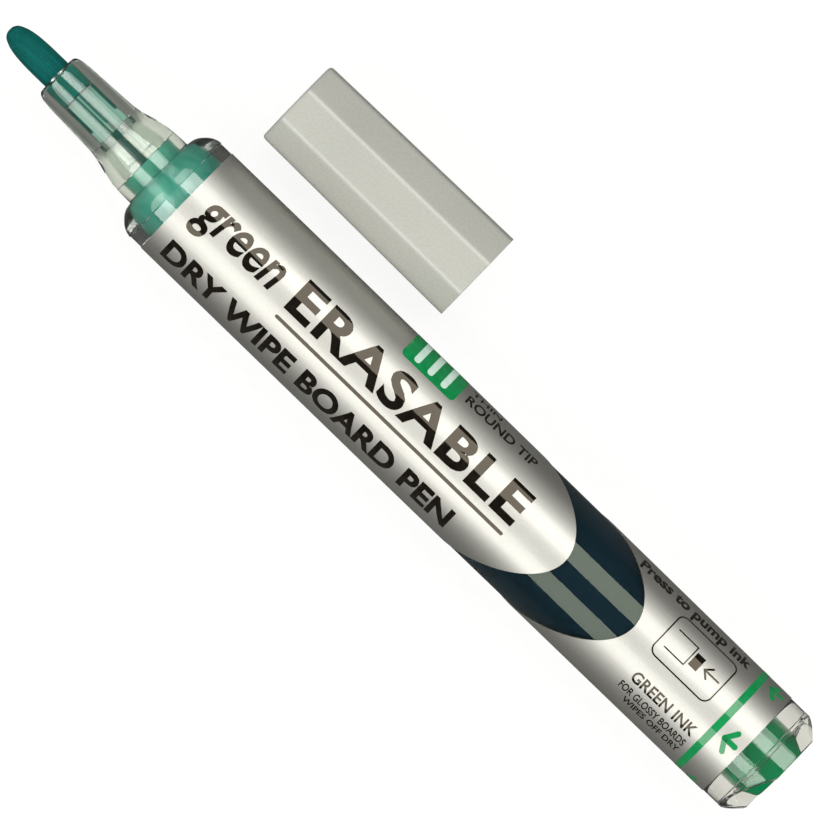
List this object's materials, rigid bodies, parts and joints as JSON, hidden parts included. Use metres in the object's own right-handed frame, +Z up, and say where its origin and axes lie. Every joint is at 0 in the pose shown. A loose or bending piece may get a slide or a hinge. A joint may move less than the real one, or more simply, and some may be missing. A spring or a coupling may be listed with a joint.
{
  "type": "whiteboard marker",
  "caption": "Round-barrelled pump-action whiteboard marker with a bullet nib, clear nose, silver label with an ink window, push button in the tail, and a loose eight-sided cap beside it.",
  "frame": {"origin": "on the barrel's axis, half-way along the straight grip", "axes": "+X along the marker from the nib to the tail, +Z up from the table, +Y towards the cap that lies beside the barrel"},
  "size_m": [0.1358, 0.0337, 0.0166],
  "materials": {
    "nib_fibre": "dense pressed acrylic fibre soaked in dark green ink",
    "clear_plastic": "clear moulded plastic, polished",
    "feeder_plastic": "clear moulded plastic, wetted green",
    "plug_plastic": "natural plastic stained green by ink",
    "wad_fibre": "ink-soaked polyester wadding",
    "valve_rubber": "smooth soft rubber",
    "white_plastic": "fine satin moulded plastic",
    "ink": "dark liquid ink",
    "silver_film": "satin metallised film under a clear gloss face",
    "spring_steel": "drawn spring wire",
    "button_plastic": "glossy green moulded plastic",
    "cap_plastic": "fine satin warm light grey plastic",
    "seal_plastic": "soft natural polyethylene"
  },
  "bodies": {
    "marker": {"nib": "nib_fibre", "front_housing": "clear_plastic", "capillary_feeder": "feeder_plastic", "metering_plug": "plug_plastic", "buffer_wad": "wad_fibre", "slit_valve": "valve_rubber", "valve_retainer": "white_plastic", "barrel_tube": "clear_plastic", "ink_fill": "ink", "label_film": "silver_film", "pump_housing": "white_plastic", "pump_o_ring": "valve_rubber", "check_valve": "valve_rubber", "pump_spring": "spring_steel", "tail_sleeve": "clear_plastic"},
    "plunger": {"pump_button": "button_plastic", "pump_piston": "white_plastic", "piston_cup": "valve_rubber"},
    "cap": {"cap_shell": "cap_plastic", "cap_inner_seal": "seal_plastic"}
  },
  "joints": [
    {"name": "pump_press", "type": "slide", "parent": "marker", "child": "plunger", "axis": [-1, 0, 0], "range_m": [0, 0.002], "stiffness_N_per_m": 600, "springref_m": -0.0035, "deforming": ["pump_spring"]},
    {"name": "cap_pull", "type": "slide", "parent": "marker", "child": "cap", "axis": [1, 0, 0], "range_m": [-0.066, 0]}
  ]
}
